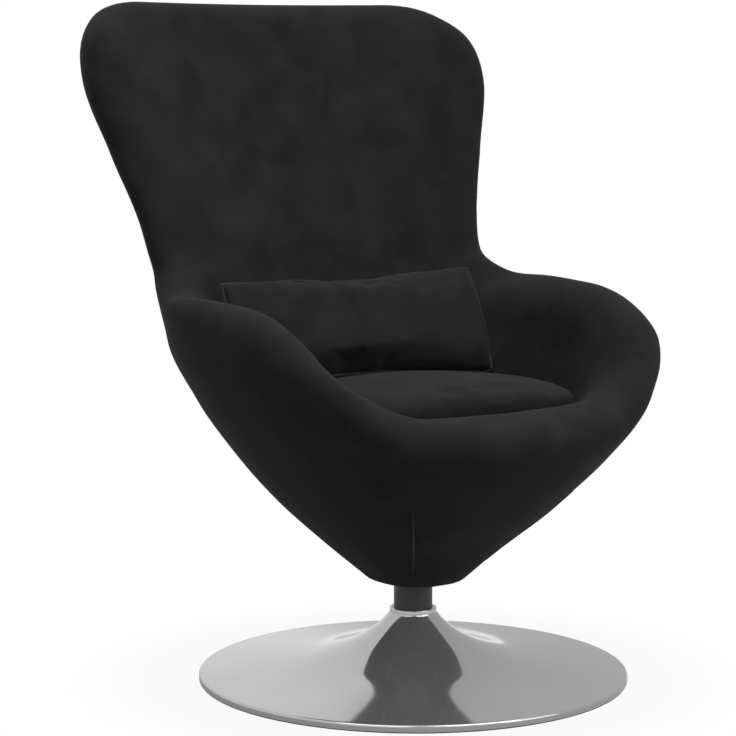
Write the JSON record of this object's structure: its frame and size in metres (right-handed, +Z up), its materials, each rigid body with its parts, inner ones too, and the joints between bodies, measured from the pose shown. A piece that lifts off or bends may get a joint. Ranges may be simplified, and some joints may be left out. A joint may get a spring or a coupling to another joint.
{
  "type": "egg chair",
  "caption": "Upholstered egg-shaped lounge chair with wings, rolled arms, seat cushion and lumbar pillow, swivelling on a column in a spun trumpet disc base.",
  "frame": {"origin": "on the floor, on the swivel axis", "axes": "+Z up along the swivel axis, -Y to the front where the sitter faces, +X to the sitter's left"},
  "size_m": [0.7084, 0.753, 0.936],
  "materials": {
    "rubber": "matt black",
    "steel": "zinc plated",
    "chrome": "polished",
    "column": "satin charcoal",
    "plastic": "moulded",
    "plywood": "raw plywood",
    "shell": "moulded",
    "velvet": "black velvet"
  },
  "bodies": {
    "base": {"floor_ring": "rubber", "ballast_plate": "steel", "trumpet_base": "chrome", "column_tube": "column", "column_foot": "steel", "foot_screws": "steel", "lower_bush": "plastic", "upper_bush": "plastic", "lower_race": "steel"},
    "bearing": {"ball_cage": "plastic", "bearing_balls": "steel"},
    "seat": {"upper_race": "steel", "spindle": "steel", "thrust_washer": "plastic", "retaining_clip": "steel", "swivel_plate": "steel", "plate_bolts": "steel", "tee_nuts": "steel", "mounting_board": "plywood", "long_rib": "plywood", "cross_rib": "plywood", "seat_deck": "plywood", "deck_screws": "steel", "moulded_shell": "shell", "outer_cover": "velvet", "hem_trim": "velvet", "inner_pad": "velvet", "edge_roll": "velvet", "seat_cushion": "velvet"},
    "pillow": {"lumbar_pillow": "velvet"}
  },
  "joints": [
    {"name": "seat_swivel", "type": "hinge", "parent": "base", "child": "seat", "pos_m": [0, 0, 0.142], "axis": [0, 0, 1], "continuous": true},
    {"name": "bearing_roll", "type": "hinge", "parent": "base", "child": "bearing", "pos_m": [0, 0, 0.1464], "axis": [0, 0, 1], "continuous": true},
    {"name": "pillow_lift", "type": "slide", "parent": "seat", "child": "pillow", "axis": [0, -0.5, 0.866], "range_m": [0, 0.35]}
  ],
  "couplings": [
    {"joint": "bearing_roll", "follows": "seat_swivel", "ratio": 0.5}
  ]
}
